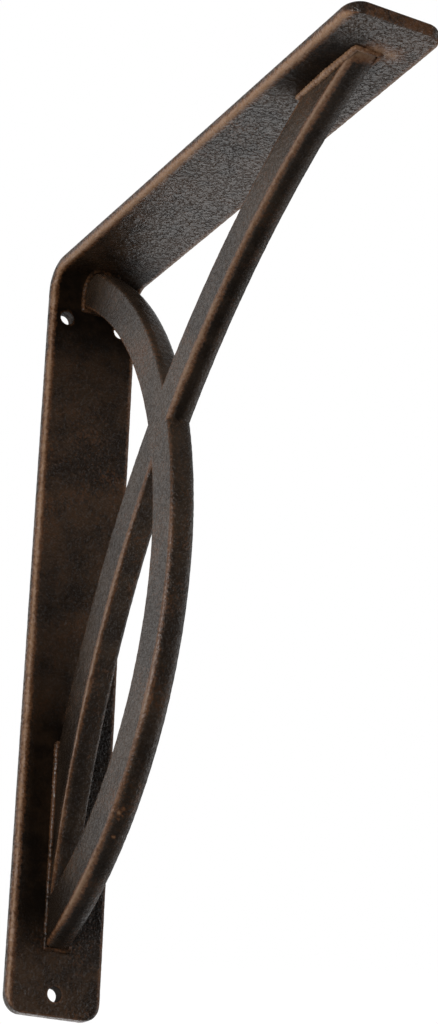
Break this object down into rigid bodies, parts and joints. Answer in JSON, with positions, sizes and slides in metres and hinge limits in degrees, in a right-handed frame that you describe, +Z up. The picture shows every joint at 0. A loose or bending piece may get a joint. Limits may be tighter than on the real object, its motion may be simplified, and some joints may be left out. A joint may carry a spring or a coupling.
{
  "type": "metal bracket",
  "caption": "Right-angle shelf bracket of flat bar with a flush crossed brace of two curved bars.",
  "frame": {"origin": "middle of the wall face, on the back of the wall leg at half its height and half its width", "axes": "+Z up along the wall leg towards the shelf leg, +Y into the wall, the shelf leg reaches out along -Y, X across the bar"},
  "size_m": [0.0508, 0.3048, 0.4],
  "materials": {
    "strap_bronze": "pebbled dark bronze powder coat over steel, rubbed to copper brown on the eased edges",
    "brace_bronze": "fine-grained dark bronze powder coat over steel, rubbed to copper brown on the eased edges"
  },
  "bodies": {
    "root": {"bent_strap": "strap_bronze", "crossed_brace": "brace_bronze"}
  },
  "joints": []
}
